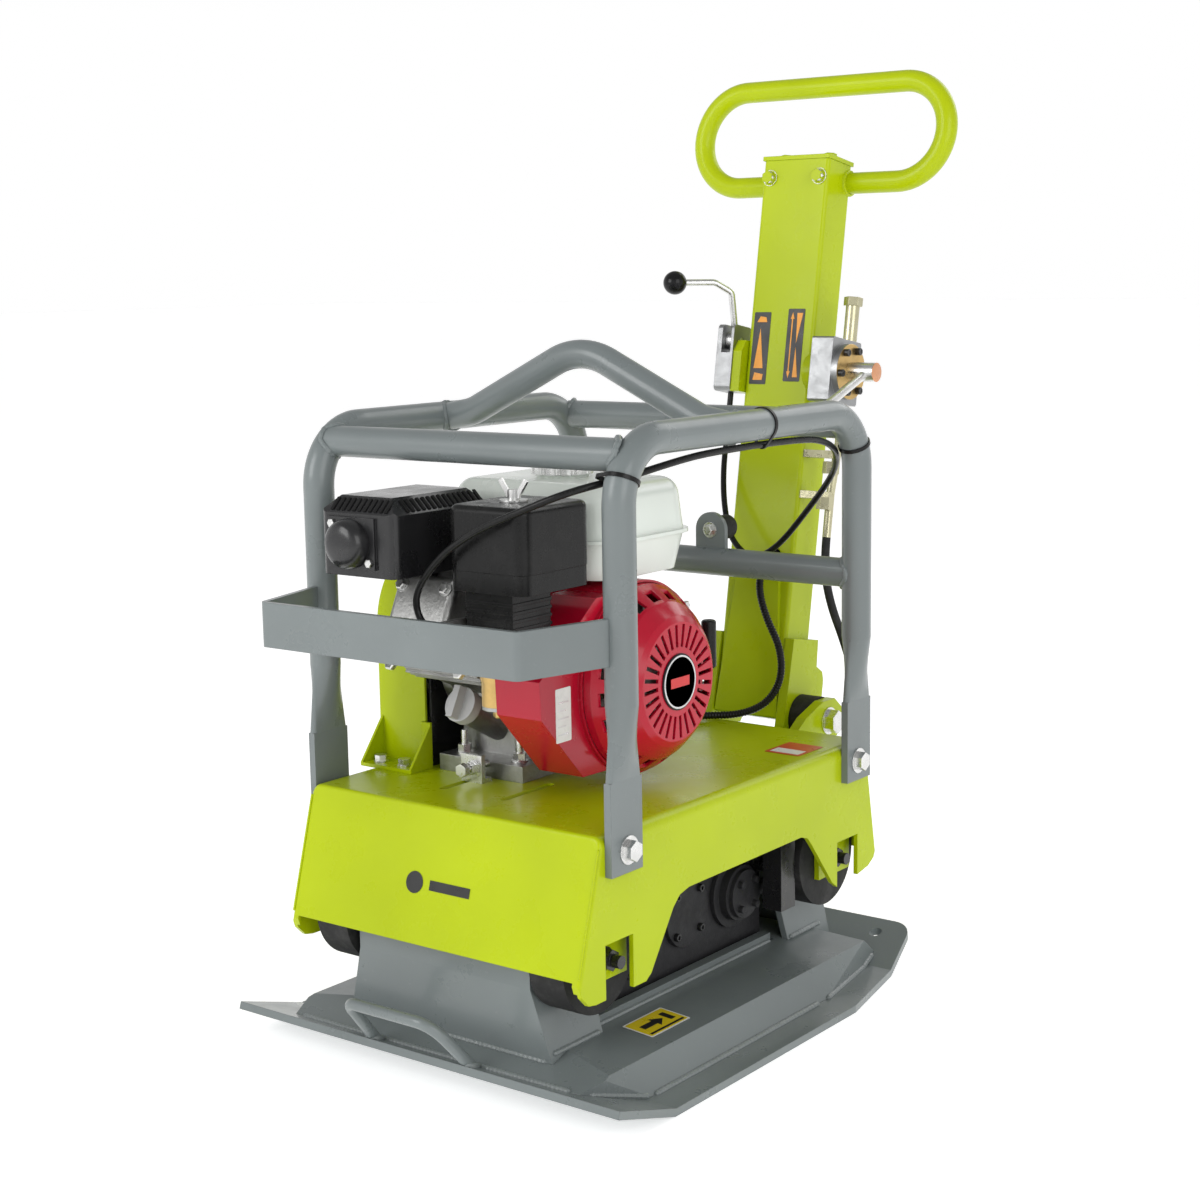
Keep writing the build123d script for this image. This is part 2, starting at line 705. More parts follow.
# ---------------------------------------------------------------- cage
def hoop_path(inset=0):
    """The hoop's bend points above its flattened feet."""
    top = HOOP_TOP_Z - inset
    return [(0, -HOOP_Y, FLATTEN_TOP_Z), (0, -HOOP_Y, top), (0, HOOP_Y, top), (0, HOOP_Y, FLATTEN_TOP_Z)]


def hoop_rod(x):
    """A solid rod where the hoop's tube runs, for cutting its neighbours' ends."""
    with BuildPart() as rod:
        tube([(x, y, z) for _, y, z in hoop_path()], HOOP_BEND, TUBE_RADIUS)
    return rod.part


def hoop(x):
    """A bent tube whose two ends are pressed flat into straps."""
    with BuildPart() as frame:
        tube([(x, y, z) for _, y, z in hoop_path()], HOOP_BEND, TUBE_RADIUS, TUBE_RADIUS - TUBE_WALL)
        for end in (-1, 1):
            y = end * HOOP_Y
            with BuildSketch(Plane(origin=(x, y, FLATTEN_TOP_Z))) as round_end:
                Circle(TUBE_RADIUS)
            with BuildSketch(Plane(origin=(x, y, STRAP_TOP_Z))) as flat_end:
                RectangleRounded(STRAP_THICKNESS, STRAP_WIDTH, 3.9)
            loft(round_end.sketch.faces() + flat_end.sketch.faces())
            block(x - 4, x + 4, y - STRAP_WIDTH / 2, y + STRAP_WIDTH / 2, STRAP_BOTTOM_Z, STRAP_TOP_Z)
            x_cylinder(x - 10, x + 10, end * CAGE_BOLT_Y, CAGE_BOLT_Z, 6.2, Mode.SUBTRACT)
    return frame.part


with BuildPart() as cage_hoop_right:
    add(hoop(HOOP_X))
cage_hoop_right.part.label = "cage_hoop_right"
export_step(cage_hoop_right.part, "parts/cage_hoop_right.step")

with BuildPart() as cage_hoop_left:
    add(hoop(-HOOP_X))
cage_hoop_left.part.label = "cage_hoop_left"
export_step(cage_hoop_left.part, "parts/cage_hoop_left.step")

hoop_rods = [hoop_rod(HOOP_X), hoop_rod(-HOOP_X)]


def cross_tube(y, z, radius):
    """A tube from hoop to hoop, cut to their round sides, as a loose solid."""
    with BuildPart() as bar:
        x_cylinder(-HOOP_X + 6, HOOP_X - 6, y, z, radius)
        x_cylinder(-HOOP_X, HOOP_X, y, z, radius - TUBE_WALL, Mode.SUBTRACT)
        for rod in hoop_rods:
            add(rod, mode=Mode.SUBTRACT)
    return bar.part


MID_BAR = (216, 459.5)
STOP_X = 2
STOP_Z = 496
STOP_FRONT_Y = 219
STOP_PLATE = 6
with BuildPart() as cage_cross_bars:
    add(cross_tube(-198, 622, TUBE_RADIUS))
    add(cross_tube(198, 624, TUBE_RADIUS))
    add(cross_tube(MID_BAR[0], MID_BAR[1], TUBE_RADIUS))
    # the round-topped plate that carries the handle's stop buffer
    with BuildSketch(Plane(origin=(STOP_X, STOP_FRONT_Y, 0), x_dir=(1, 0, 0), z_dir=(0, -1, 0))) as stop_face:
        with Locations((0, STOP_Z)):
            Circle(20)
        with Locations((0, 484)):
            Rectangle(40, 24)
    extrude(stop_face.sketch, amount=STOP_PLATE)
    y_cylinder(STOP_X, 200, 225, STOP_Z, 4.1, Mode.SUBTRACT)
cage_cross_bars.part.label = "cage_cross_bars"
export_step(cage_cross_bars.part, "parts/cage_cross_bars.step")

BAIL_Y = -18
BAIL_RADIUS = 15
with BuildPart() as lifting_bail:
    tube(
        [
            (-HOOP_X, BAIL_Y, 634),
            (-150, BAIL_Y, 642),
            (0, BAIL_Y, 714),
            (150, BAIL_Y, 642),
            (HOOP_X, BAIL_Y, 634),
        ],
        [60, 80, 60],
        BAIL_RADIUS,
        BAIL_RADIUS - TUBE_WALL,
    )
    for rod in hoop_rods:
        add(rod, mode=Mode.SUBTRACT)
    for side in (-1, 1):
        outside = sorted((side * HOOP_X, side * (HOOP_X + 30)))
        block(outside[0], outside[1], BAIL_Y - 20, BAIL_Y + 20, 600, 660, Mode.SUBTRACT)
    lumps = lifting_bail.part.solids().sort_by(SortBy.VOLUME)
    for lump in lumps[:-1]:
        add(lump, mode=Mode.SUBTRACT)
lifting_bail.part.label = "lifting_bail"
export_step(lifting_bail.part, "parts/lifting_bail.step")

BUMPER_Z = (429, 474)
BUMPER_BAR = 6
with BuildPart() as bumper_bar:
    with BuildSketch(Plane.XY.offset(BUMPER_Z[0])):
        Polygon(
            (-HOOP_X, -226),
            (-164, -331),
            (164, -331),
            (HOOP_X, -226),
            (HOOP_X - BUMPER_BAR, -226),
            (159.5, -331 + BUMPER_BAR),
            (-159.5, -331 + BUMPER_BAR),
            (-HOOP_X + BUMPER_BAR, -226),
            align=None,
        )
    extrude(amount=BUMPER_Z[1] - BUMPER_Z[0])
    fillet(bumper_bar.edges().filter_by(Axis.Z).group_by(Axis.Y)[0], 8)
    for rod in hoop_rods:
        add(rod, mode=Mode.SUBTRACT)
bumper_bar.part.label = "bumper_bar"
export_step(bumper_bar.part, "parts/bumper_bar.step")

with BuildPart() as cage_bolts:
    for side in (-1, 1):
        for end in (-1, 1):
            face = side * (HOOP_X + STRAP_THICKNESS / 2)
            seat = Plane(origin=(face, end * CAGE_BOLT_Y, CAGE_BOLT_Z), z_dir=(side, 0, 0))
            hex_bolt(seat, 18, 8, 6, 20, 14)
            inner = Plane(origin=(side * (HOOD_HALF_WIDTH - HOOD_WALL), end * CAGE_BOLT_Y, CAGE_BOLT_Z),
                          z_dir=(-side, 0, 0))
            hex_bolt(inner, 18, 10, 6, 4)
cage_bolts.part.label = "cage_bolts"
export_step(cage_bolts.part, "parts/cage_bolts.step")

# Handle stop: a plate welded to the mid bar, and a rubber buffer behind it.
with BuildPart() as stop_buffer:
    y_cylinder(STOP_X, 219, 249, STOP_Z, 14)
    fillet(stop_buffer.edges().group_by(Axis.Y)[-1], 2)
stop_buffer.part.label = "stop_buffer"
export_step(stop_buffer.part, "parts/stop_buffer.step")

# ---------------------------------------------------------------- belt cover
COVER_X = (-203, -137)
COVER_Y = (-125, 51)
COVER_TOP_Z = 505
COVER_WALL = 3


def cover_outline(inset):
    """The belt cover's side view: straight sides under a rounded top."""
    radius = (COVER_Y[1] - COVER_Y[0]) / 2 - inset
    middle = (COVER_Y[0] + COVER_Y[1]) / 2
    with BuildSketch(Plane.YZ) as view:
        with Locations((middle, COVER_TOP_Z - inset - radius)):
            Circle(radius)
        with Locations((middle, (COVER_TOP_Z - inset - radius + HOOD_TOP_Z) / 2)):
            Rectangle(2 * radius, COVER_TOP_Z - inset - radius - HOOD_TOP_Z)
    return view.sketch


with BuildPart() as belt_cover:
    extrude(cover_outline(0).moved(Location((COVER_X[0], 0, 0))), amount=COVER_X[1] - COVER_X[0])
    hollow = cover_outline(COVER_WALL).moved(Location((COVER_X[0] + COVER_WALL, 0, 0)))
    extrude(hollow, amount=70, mode=Mode.SUBTRACT)
    block(COVER_X[0] + COVER_WALL, COVER_X[1] + 1, COVER_Y[0] + COVER_WALL, COVER_Y[1] - COVER_WALL,
          260, 300, Mode.SUBTRACT)
    # foot flange and its two gussets
    block(-201, -128, -160, COVER_Y[0], HOOD_TOP_Z, 272.5)
    for x in (-201, -131):
        prism(Plane.YZ.offset(x), [(-160, 272.5), (COVER_Y[0], 272.5), (COVER_Y[0], 318)], 3)
    block(-141, -128, COVER_Y[0] - 3, COVER_Y[0], 272.5, 318)
    for x in (-184, -150):
        z_cylinder(x, -146, 260, 280, 4.1, Mode.SUBTRACT)
belt_cover.part.label = "belt_cover"
export_step(belt_cover.part, "parts/belt_cover.step")

with BuildPart() as belt_backplate:
    extrude(cover_outline(6).moved(Location((-136.8, 0, 0))), amount=3)
    x_cylinder(-140, -130, CRANK_Y, CRANK_Z, 30, Mode.SUBTRACT)
belt_backplate.part.label = "belt_backplate"
export_step(belt_backplate.part, "parts/belt_backplate.step")

# ---------------------------------------------------------------- engine
HEAD_AXIS = (0, -cos(radians(CYLINDER_TILT)), sin(radians(CYLINDER_TILT)))
# local y runs up and forward across the cylinder, local z out along it
HEAD_FRAME = Plane(origin=(-56, CRANK_Y, CRANK_Z), x_dir=(1, 0, 0), z_dir=HEAD_AXIS)


def head_block(x0, x1, y0, y1, z0, z1, mode=Mode.ADD):
    """A box in the cylinder's tilted frame, y upwards across it, in the active part."""
    with BuildSketch(HEAD_FRAME.offset(z0)) as outline:
        Polygon((x0, -y0), (x1, -y0), (x1, -y1), (x0, -y1), align=None)
    extrude(outline.sketch, amount=z1 - z0, mode=mode)


with BuildPart() as crankcase:
    block(-118, -4, -125, 72, HOOD_TOP_Z, 286)
    block(-112, -10, -92, 42, 280, 452)
    fillet(crankcase.edges().filter_by(Axis.X).group_by(Axis.Z)[-1], 30)
    x_cylinder(-124, -112, CRANK_Y, CRANK_Z, 62)
    x_cylinder(-132, -124, CRANK_Y, CRANK_Z, 26)
    head_block(-48, 46, -52, 46, 30, 100)
    # the slanted oil filler beside the front studs
    with Locations(Location((-66, -112, 330), (62, 0, 0))):
        Cylinder(17, 60)
    x_cylinder(-104, -18, CRANK_Y, CRANK_Z, 46, Mode.SUBTRACT)
    x_cylinder(-140, 0, CRANK_Y, CRANK_Z, 15.06, Mode.SUBTRACT)
    for x, y in [(x, y) for x in STUD_XS for y in STUD_YS]:
        z_cylinder(x, y, 260, 290, 4.6, Mode.SUBTRACT)
crankcase.part.label = "crankcase"
export_step(crankcase.part, "parts/crankcase.step")

with BuildPart() as cylinder_head:
    head_block(-50, 48, -54, 48, 100.2, 128)
    for z in (104, 112, 120):
        head_block(-52, 50, -57, 51, z, z + 3)
    head_block(-54, 52, -62, 40, 128, 150)
    head_block(-40, 38, -40, 34, 150, 184)
    fillet(cylinder_head.faces().sort_by(Axis((0, 0, 0), HEAD_AXIS))[-1].edges(), 7)
    for x in (-44, 42):
        with BuildSketch(HEAD_FRAME.offset(150)) as boss:
            with Locations((x, 52)):
                Circle(9)
        extrude(boss.sketch, amount=6)
cylinder_head.part.label = "cylinder_head"
export_step(cylinder_head.part, "parts/cylinder_head.step")

with BuildPart() as oil_dipstick:
    with Locations(Location((-66, -112, 330), (62, 0, 0))):
        with Locations((0, 0, 30.3)):
            Cylinder(19, 12, align=(Align.CENTER, Align.CENTER, Align.MIN))
        with Locations((0, 0, 42.3)):
            Box(8, 34, 12, align=(Align.CENTER, Align.CENTER, Align.MIN))
oil_dipstick.part.label = "oil_dipstick"
export_step(oil_dipstick.part, "parts/oil_dipstick.step")

FLYWHEEL_X = (40, 62)
FAN_BLADES = 16
with BuildPart() as crankshaft:
    x_cylinder(-181, -132, CRANK_Y, CRANK_Z, 9.5)
    x_cylinder(-132, FLYWHEEL_X[0], CRANK_Y, CRANK_Z, 15)
    for x0 in (-84, -48):
        x_cylinder(x0, x0 + 16, CRANK_Y, CRANK_Z, 40)
    x_cylinder(FLYWHEEL_X[0], FLYWHEEL_X[1], CRANK_Y, CRANK_Z, 80)
    x_cylinder(FLYWHEEL_X[1], 86, CRANK_Y, CRANK_Z, 30)
    for step in range(FAN_BLADES):
        with Locations(Location((FLYWHEEL_X[1] + 9, CRANK_Y, CRANK_Z), (step * 360 / FAN_BLADES, 0, 0))):
            with Locations((0, 62, 0)):
                Box(20, 32, 3)
crankshaft.part.label = "crankshaft"
export_step(crankshaft.part, "parts/crankshaft.step")

with BuildPart() as clutch_drum:
    pulley(CRANK_Y, CRANK_Z, DRUM_GROOVE_RADIUS)
    x_cylinder(DRUM_X - 30, DRUM_X + 30, CRANK_Y, CRANK_Z, 9.56, Mode.SUBTRACT)
    x_cylinder(DRUM_X + 4, DRUM_X + 16, CRANK_Y, CRANK_Z, 42, Mode.SUBTRACT)
clutch_drum.part.label = "clutch_drum"
export_step(clutch_drum.part, "parts/clutch_drum.step")

SHROUD_X = (0, 96)
SHROUD_WALL = 2.5
NOSE_X = (36, 92)
SHROUD_RADIUS = 100
NOSE = [(-52, 291), (-146, 293), (-210, 362), (-212, 400), (-160, 440), (-120, 470), (-52, 472)]


def shroud_body(inset):
    """The blower housing's outer volume; an inset of the wall gives its hollow."""
    with BuildPart() as volume:
        x_cylinder(SHROUD_X[0] + inset, SHROUD_X[1], CRANK_Y, CRANK_Z, SHROUD_RADIUS - inset)
        with BuildSketch(Plane.YZ.offset(NOSE_X[0] + inset)) as nose:
            Polygon(*NOSE, align=None)
            if inset:
                offset(amount=-inset, mode=Mode.REPLACE)
        extrude(nose.sketch, amount=NOSE_X[1] - NOSE_X[0] - 2 * inset)
    return volume.part


with BuildPart() as fan_shroud:
    add(shroud_body(0))
    add(shroud_body(SHROUD_WALL), mode=Mode.SUBTRACT)
    x_cylinder(-10, 10, CRANK_Y, CRANK_Z, 34, Mode.SUBTRACT)
fan_shroud.part.label = "fan_shroud"
export_step(fan_shroud.part, "parts/fan_shroud.step")

RECOIL_PROFILE = [(96, 97), (104, 96), (126, 80), (139, 67), (143, 61), (143, 0)]
RECOIL_INSIDE = [(140, 0), (140, 59), (136, 65), (124, 77), (103, 92.4), (96, 94)]
FACE_SLOTS = 28
RIM_VENTS = 20
with BuildPart() as recoil_cover:
    with BuildSketch(Plane(origin=(0, CRANK_Y, CRANK_Z), x_dir=(1, 0, 0), z_dir=(0, -1, 0))) as section:
        Polygon(*RECOIL_PROFILE, *RECOIL_INSIDE, align=None)
    revolve(section.sketch, axis=Axis((0, CRANK_Y, CRANK_Z), (1, 0, 0)), revolution_arc=360)
    with BuildSketch(Plane(origin=(136, CRANK_Y, CRANK_Z), x_dir=(0, 1, 0), z_dir=(1, 0, 0))) as slots:
        with PolarLocations(47, FACE_SLOTS, start_angle=3):
            Rectangle(23, 4.2)
    extrude(slots.sketch, amount=12, mode=Mode.SUBTRACT)
    with BuildSketch(Plane(origin=(110, CRANK_Y, CRANK_Z), x_dir=(0, 1, 0), z_dir=(1, 0, 0))) as vents:
        with PolarLocations(90, RIM_VENTS, start_angle=4.5):
            Rectangle(20, 14)
    extrude(vents.sketch, amount=13, mode=Mode.SUBTRACT)
recoil_cover.part.label = "recoil_cover"
export_step(recoil_cover.part, "parts/recoil_cover.step")

GRIP = (100, 46, 396)
with BuildPart() as starter_grip:
    y_cylinder(GRIP[0], GRIP[1] + 2.4, GRIP[1] + 16, GRIP[2], 6)
    z_cylinder(GRIP[0], GRIP[1] + 19, GRIP[2] - 26, GRIP[2] + 26, 8)
    fillet(starter_grip.edges().filter_by(GeomType.CIRCLE).group_by(Axis.Z)[-1], 3)
    fillet(starter_grip.edges().filter_by(GeomType.CIRCLE).group_by(Axis.Z)[0], 3)
starter_grip.part.label = "starter_grip"
export_step(starter_grip.part, "parts/starter_grip.step")

TANK_X = (-130, 99)
TANK_Y = (-110, 55)
TANK_Z = (482, 578)
RIM_Z = 520
CAP_XY = (-22, -26)
with BuildPart() as fuel_tank:
    middle = ((TANK_X[0] + TANK_X[1]) / 2, (TANK_Y[0] + TANK_Y[1]) / 2)
    width = TANK_X[1] - TANK_X[0]
    depth = TANK_Y[1] - TANK_Y[0]
    with BuildSketch(Plane.XY.offset(TANK_Z[0])):
        with Locations(middle):
            RectangleRounded(width - 26, depth - 26, 28)
    with BuildSketch(Plane.XY.offset(RIM_Z)):
        with Locations(middle):
            RectangleRounded(width - 10, depth - 10, 32)
    loft()
    with BuildSketch(Plane.XY.offset(RIM_Z)) as rim:
        with Locations(middle):
            RectangleRounded(width, depth, 36)
    extrude(rim.sketch, amount=4)
    with BuildSketch(Plane.XY.offset(RIM_Z + 4)) as upper:
        with Locations(middle):
            RectangleRounded(width - 10, depth - 10, 32)
    extrude(upper.sketch, amount=TANK_Z[1] - RIM_Z - 4, taper=7)
    fillet(fuel_tank.edges().group_by(Axis.Z)[-1], 20)
    z_cylinder(CAP_XY[0], CAP_XY[1], 571, 581, 28)
fuel_tank.part.label = "fuel_tank"
export_step(fuel_tank.part, "parts/fuel_tank.step")

with BuildPart() as fuel_cap:
    z_cylinder(CAP_XY[0], CAP_XY[1], 581.3, 596.3, 33)
    chamfer(fuel_cap.edges().group_by(Axis.Z)[-1], 2.5)
    with Locations((CAP_XY[0], CAP_XY[1], 588)):
        with PolarLocations(34.5, 12):
            Cylinder(4, 30, mode=Mode.SUBTRACT)
fuel_cap.part.label = "fuel_cap"
export_step(fuel_cap.part, "parts/fuel_cap.step")

CLEANER_X = (-3, 95)
CLEANER_Y = (-235, -128)
CLEANER_Z = (486, 506, 570)
with BuildPart() as air_cleaner_base:
    block(CLEANER_X[0] + 1, CLEANER_X[1] - 1, CLEANER_Y[0] + 1, CLEANER_Y[1] - 1, CLEANER_Z[0], CLEANER_Z[1])
    fillet(air_cleaner_base.edges().filter_by(Axis.Z), 12)
    block(16, 74, -228, -170, 446, CLEANER_Z[0])
    for z in (450, 458, 466, 474):
        block(15, 75, -229, -169, z, z + 3)
    block(2, 20, -200, -172, 440, CLEANER_Z[0])
    z_cylinder(42, -184, CLEANER_Z[1], 578, 3)
air_cleaner_base.part.label = "air_cleaner_base"
export_step(air_cleaner_base.part, "parts/air_cleaner_base.step")

with BuildPart() as air_cleaner_cover:
    block(CLEANER_X[0], CLEANER_X[1], CLEANER_Y[0], CLEANER_Y[1], CLEANER_Z[1] + 0.2, CLEANER_Z[2])
    fillet(air_cleaner_cover.edges().filter_by(Axis.Z), 14)
    fillet(air_cleaner_cover.edges().group_by(Axis.Z)[-1], 7)
    with BuildSketch(Plane.XY.offset(CLEANER_Z[1])) as room:
        with Locations(((CLEANER_X[0] + CLEANER_X[1]) / 2, (CLEANER_Y[0] + CLEANER_Y[1]) / 2)):
            RectangleRounded(CLEANER_X[1] - CLEANER_X[0] - 6, CLEANER_Y[1] - CLEANER_Y[0] - 6, 11)
    extrude(room.sketch, amount=CLEANER_Z[2] - CLEANER_Z[1] - 3, mode=Mode.SUBTRACT)
    z_cylinder(42, -184, 560, 575, 3.2, Mode.SUBTRACT)
air_cleaner_cover.part.label = "air_cleaner_cover"
export_step(air_cleaner_cover.part, "parts/air_cleaner_cover.step")

with BuildPart() as wing_nut:
    z_cylinder(42, -184, 570.2, 572.2, 14)
    z_cylinder(42, -184, 572.2, 582, 6)
    for side in (-1, 1):
        with Locations(Location((42 + side * 11, -184, 584), (0, side * 35, 0))):
            Box(5, 3, 18)
    block(34, 50, -185.5, -182.5, 574, 580)
    z_cylinder(42, -184, 565, 579, 3.06, Mode.SUBTRACT)
wing_nut.part.label = "wing_nut"
export_step(wing_nut.part, "parts/wing_nut.step")

MUFFLER_X = (-138, -38)
MUFFLER_Y = (-270, -128)
MUFFLER_Z = (497, 575)
with BuildPart() as muffler:
    block(MUFFLER_X[0], MUFFLER_X[1], MUFFLER_Y[0], MUFFLER_Y[1], MUFFLER_Z[0], MUFFLER_Z[1])
    chamfer(muffler.edges().group_by(Axis.Z)[-1], 16)
    fillet(muffler.edges().filter_by(Axis.Z), 10)
    block(MUFFLER_X[0] + 3, MUFFLER_X[1] - 3, MUFFLER_Y[0] + 3, MUFFLER_Y[1] - 3, MUFFLER_Z[0] - 1, 556,
          Mode.SUBTRACT)
    # the silencer can inside, and its pipe down to the head
    with BuildSketch(Plane.XY.offset(502)) as can:
        with Locations((-88, -199)):
            RectangleRounded(84, 124, 20)
    extrude(can.sketch, amount=50)
    z_cylinder(-88, -165, 462, 503, 13)
    add(cylinder_head.part, mode=Mode.SUBTRACT)
    # the spark-arrester dome on the front
    block(-125, -62, MUFFLER_Y[0] - 3, MUFFLER_Y[0], 505, 556)
    y_cylinder(-94, MUFFLER_Y[0] - 18, MUFFLER_Y[0] - 3, 530, 19)
muffler.part.label = "muffler"
export_step(muffler.part, "parts/muffler.step")

with BuildPart() as carburettor:
    block(-3, 34, -202, -156, 396, 439)
    z_cylinder(15, -180, 360, 396, 18)
    y_cylinder(14, -215, -202, 418, 12)
    z_cylinder(15, -180, 353, 360, 6)
    # cable stop above the carburettor
    block(5, 11, -256, -202, 428, 458)
carburettor.part.label = "carburettor"
export_step(carburettor.part, "parts/carburettor.step")

with BuildPart() as choke_lever:
    x_cylinder(34.3, 38.8, -214, 424, 7)
    block(36, 38.8, -250, -214, 420, 428)
    y_cylinder(37.4, -258, -246, 424, 6)
choke_lever.part.label = "choke_lever"
export_step(choke_lever.part, "parts/choke_lever.step")

with BuildPart() as deck_bolts:
    for x, y in [(x, y) for x in STUD_XS for y in STUD_YS]:
        seat = Plane(origin=(x, y, 286))
        hex_bolt(seat, 13, 8, 4.4, 32, 9)
        with Locations((x, y, 295)):
            Cylinder(4, 16, align=(Align.CENTER, Align.CENTER, Align.MIN))
    for x in (-184, -150):
        hex_bolt(Plane(origin=(x, -146, 272.5)), 12, 6, 4, 4, 8)
deck_bolts.part.label = "deck_bolts"
export_step(deck_bolts.part, "parts/deck_bolts.step")


# ---------------------------------------------------------------- handle
def post_block(x0, x1, d0, d1, u0, u1, mode=Mode.ADD):
    """A box in the post's frame, in the active part."""
    with BuildSketch(POST_FRAME.offset(u0)) as outline:
        Polygon((x0, d0), (x1, d0), (x1, d1), (x0, d1), align=None)
    extrude(outline.sketch, amount=u1 - u0, mode=mode)


def post_x_cylinder(x0, x1, depth, up, radius, mode=Mode.ADD):
    """A cylinder along X centred in the post's frame, in the active part."""
    centre = on_post(0, depth, up)
    x_cylinder(x0, x1, centre.Y, centre.Z, radius, mode)


CHEEK = [(-8, -14), (-4, 40), (-1, 96), (54, 96), (56, 64), (70, 58), (74, 48), (74, 16), (58, -14)]
CHEEK_OUTER_X = 57
VALVE_X = (70, 98)
VALVE_DEPTH = -9.8
VALVE_UP = 409.6
LOBE = [(-12, 384), (30, 384), (30, 446), (-4, 446), (-12, 432)]

with BuildPart() as handle_loop:
    for side in (-1, 1):
        tube(
            [
                on_post(0, LOOP_DEPTH, LOOP_BOTTOM),
                on_post(side * (LOOP_HALF_WIDTH), LOOP_DEPTH, LOOP_BOTTOM),
                on_post(side * (LOOP_HALF_WIDTH), LOOP_DEPTH, LOOP_TOP),
                on_post(0, LOOP_DEPTH, LOOP_TOP),
            ],
            (LOOP_TOP - LOOP_BOTTOM) / 2 - 0.1,
            LOOP_TUBE_RADIUS,
            LOOP_TUBE_RADIUS - 2.5,
        )
handle_loop.part.label = "handle_loop"
export_step(handle_loop.part, "parts/handle_loop.step")

with BuildPart() as handle_post:
    half = POST_WIDTH / 2
    post_block(-half, half, 0, POST_DEPTH, 0, POST_LENGTH)
    fillet(handle_post.edges().filter_by(Axis((0, 0, 0), POST_AXIS)), 5)
    post_block(-half + POST_WALL, half - POST_WALL, POST_WALL, POST_DEPTH - POST_WALL, -1, POST_LENGTH + 1,
               Mode.SUBTRACT)
    prism(POST_FRONT, [(-44, 2), (44, 2), (30, 166), (-30, 166)], 4)
    for x in (-CHEEK_OUTER_X, half):
        prism(Plane(origin=(x, POST_FOOT[1], POST_FOOT[2]), x_dir=POST_FRAME.y_dir, z_dir=(1, 0, 0)),
              CHEEK, CHEEK_OUTER_X - half)
    prism(Plane(origin=(-CHEEK_OUTER_X, POST_FOOT[1], POST_FOOT[2]), x_dir=POST_FRAME.y_dir, z_dir=(1, 0, 0)),
          LOBE, CHEEK_OUTER_X - half)
    post_x_cylinder(half, VALVE_X[0], VALVE_DEPTH + 12, VALVE_UP, 21)
    x_cylinder(-60, 60, PIVOT_Y, PIVOT_Z, 8.06, Mode.SUBTRACT)
    # the conduit enters the post through a hole in its front wall
    y_cylinder(CONDUIT_ROUTE[0][0], 312, 332, 455, 8, Mode.SUBTRACT)
    centre = on_post(0, LOOP_DEPTH, LOOP_BOTTOM)
    x_cylinder(-60, 60, centre.Y, centre.Z, LOOP_TUBE_RADIUS, Mode.SUBTRACT)
handle_post.part.label = "handle_post"
export_step(handle_post.part, "parts/handle_post.step")

with BuildPart() as post_cap:
    post_block(-half - 1, half + 1, -1, POST_DEPTH + 1, POST_LENGTH, POST_LENGTH + 5)
    for x in (-30, 30):
        hex_bolt(Plane(origin=on_post(x, 27, POST_LENGTH + 5), z_dir=POST_AXIS), 13, 6, 3.9, 4)
        hex_bolt(Plane(origin=on_post(x * 1.13, 0, 640), z_dir=-POST_FRAME.y_dir), 13, 7, 3.9, 0, 9)
post_cap.part.label = "post_cap"
export_step(post_cap.part, "parts/post_cap.step")

with BuildPart() as pivot_bushes:
    for side in (-1, 1):
        xs = sorted((side * (CHEEK_OUTER_X + 0.4), side * EAR_INNER_X))
        x_cylinder(xs[0], xs[1], PIVOT_Y, PIVOT_Z, 27)
        x_cylinder(xs[0], xs[1], PIVOT_Y, PIVOT_Z, 8.05, Mode.SUBTRACT)
pivot_bushes.part.label = "pivot_bushes"
export_step(pivot_bushes.part, "parts/pivot_bushes.step")

THROTTLE_PIVOT = on_post(-66, 4, 446)
with BuildPart() as throttle_housing:
    post_block(-80, -CHEEK_OUTER_X, -14, 24, 384, 464)
    fillet(throttle_housing.edges().filter_by(Axis.X), 6)
    post_block(-73.5, -60.5, -20, 30, 430, 470, Mode.SUBTRACT)
    x_cylinder(-90, -50, THROTTLE_PIVOT.Y, THROTTLE_PIVOT.Z, 4.05, Mode.SUBTRACT)
throttle_housing.part.label = "throttle_housing"
export_step(throttle_housing.part, "parts/throttle_housing.step")

with BuildPart() as throttle_lever:
    x_cylinder(-79.5, -57.5, THROTTLE_PIVOT.Y, THROTTLE_PIVOT.Z, 4)
    x_cylinder(-73, -61, THROTTLE_PIVOT.Y, THROTTLE_PIVOT.Z, 11)
    tube(
        [
            (-66, THROTTLE_PIVOT.Y, THROTTLE_PIVOT.Z + 8),
            (-66, 362, 762),
            (-80, 347, 774),
            (-108, 309, 774.5),
        ],
        [9, 14],
        4,
    )
throttle_lever.part.label = "throttle_lever"
export_step(throttle_lever.part, "parts/throttle_lever.step")

with BuildPart() as throttle_knob:
    with Locations((-110, 307, 774.5)):
        Sphere(14)
    add(throttle_lever.part, mode=Mode.SUBTRACT)
throttle_knob.part.label = "throttle_knob"
export_step(throttle_knob.part, "parts/throttle_knob.step")

VALVE_AXIS = on_post(0, VALVE_DEPTH, VALVE_UP)
with BuildPart() as valve_block:
    post_block(VALVE_X[0], VALVE_X[1], VALVE_DEPTH - 32, VALVE_DEPTH + 32, VALVE_UP - 37, VALVE_UP + 37)
    chamfer(valve_block.edges().filter_by(Axis.X), 2)
    x_cylinder(VALVE_X[1], 106, VALVE_AXIS.Y, VALVE_AXIS.Z, 32)
    with Locations(Plane(origin=(106, VALVE_AXIS.Y, VALVE_AXIS.Z), z_dir=(1, 0, 0))):
        with PolarLocations(26, 6, start_angle=30):
            Cylinder(3.5, 5, align=(Align.CENTER, Align.CENTER, Align.MIN))
valve_block.part.label = "valve_block"
export_step(valve_block.part, "parts/valve_block.step")

